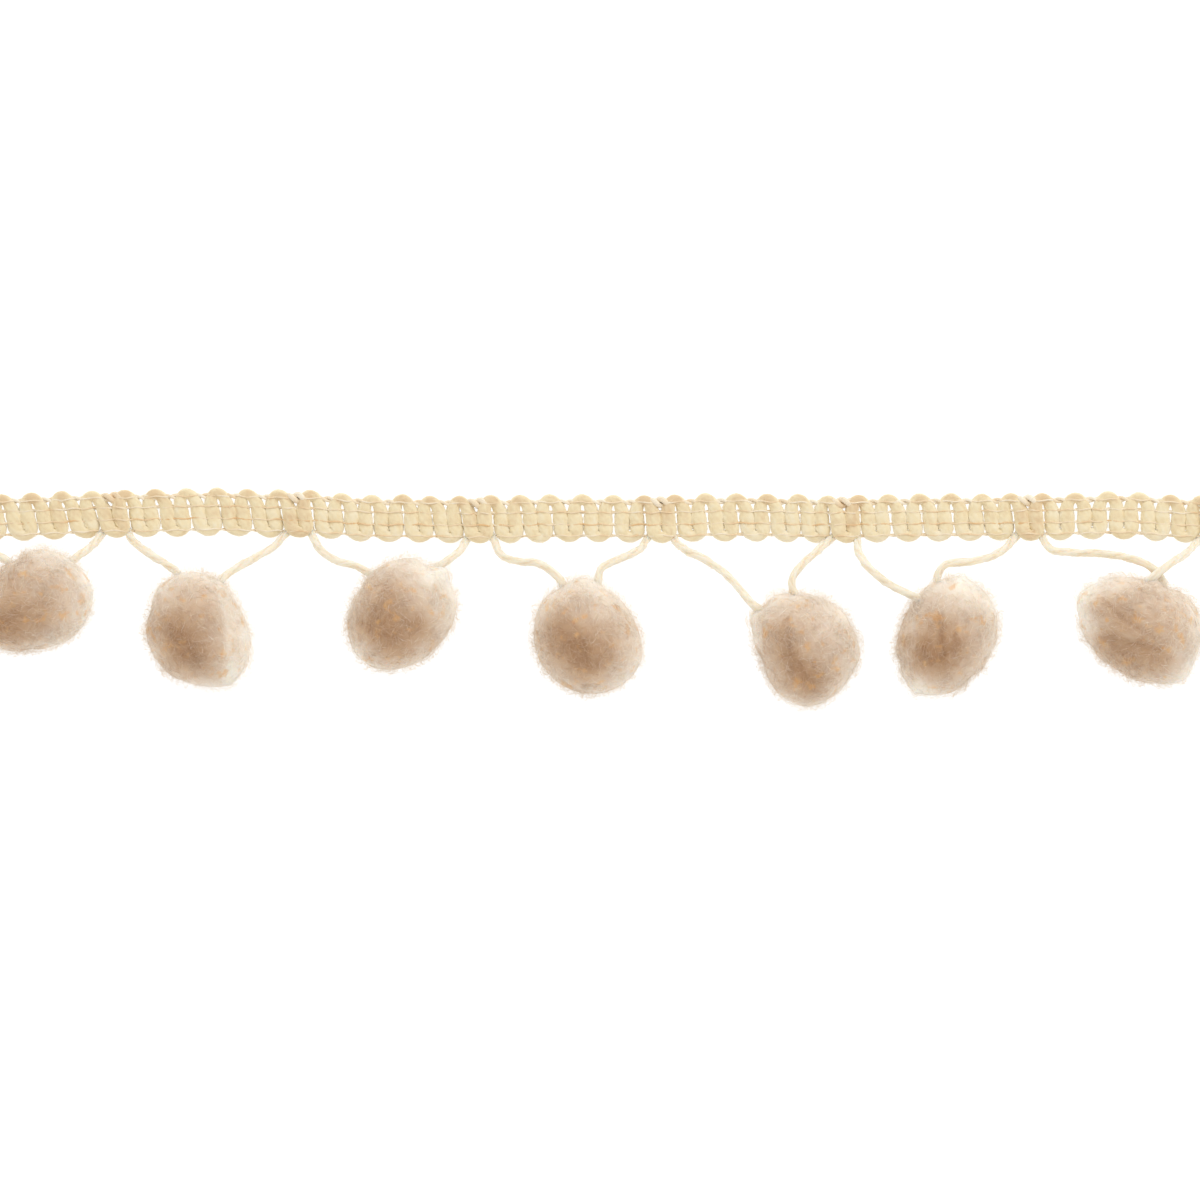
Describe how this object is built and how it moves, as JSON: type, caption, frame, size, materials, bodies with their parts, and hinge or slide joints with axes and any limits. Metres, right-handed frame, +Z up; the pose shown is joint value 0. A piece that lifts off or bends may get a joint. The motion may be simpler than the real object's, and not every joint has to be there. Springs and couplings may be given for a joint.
{
  "type": "pompom fringe trim",
  "caption": "Narrow woven braid heading with soft round pompoms hung from it on a zigzag cord, for edging cloth.",
  "frame": {"origin": "middle of the trim's outline, on the surface that it lies on", "axes": "+X along the heading, +Y from the pompoms towards the heading, +Z up out of the trim's face"},
  "size_m": [0.165, 0.0261, 0.0121],
  "materials": {
    "braid": "golden cream spun yarn, woven in serpentine ribs, matt",
    "cord": "pale cream plied cotton cord, matt",
    "yarn": "soft beige cut pile with a fuzzy surface"
  },
  "bodies": {
    "root": {"braid_heading": "braid", "carrier_cord": "cord", "pompom_1": "yarn", "pompom_2": "yarn", "pompom_3": "yarn", "pompom_4": "yarn", "pompom_5": "yarn", "pompom_6": "yarn", "pompom_7": "yarn"}
  },
  "joints": []
}
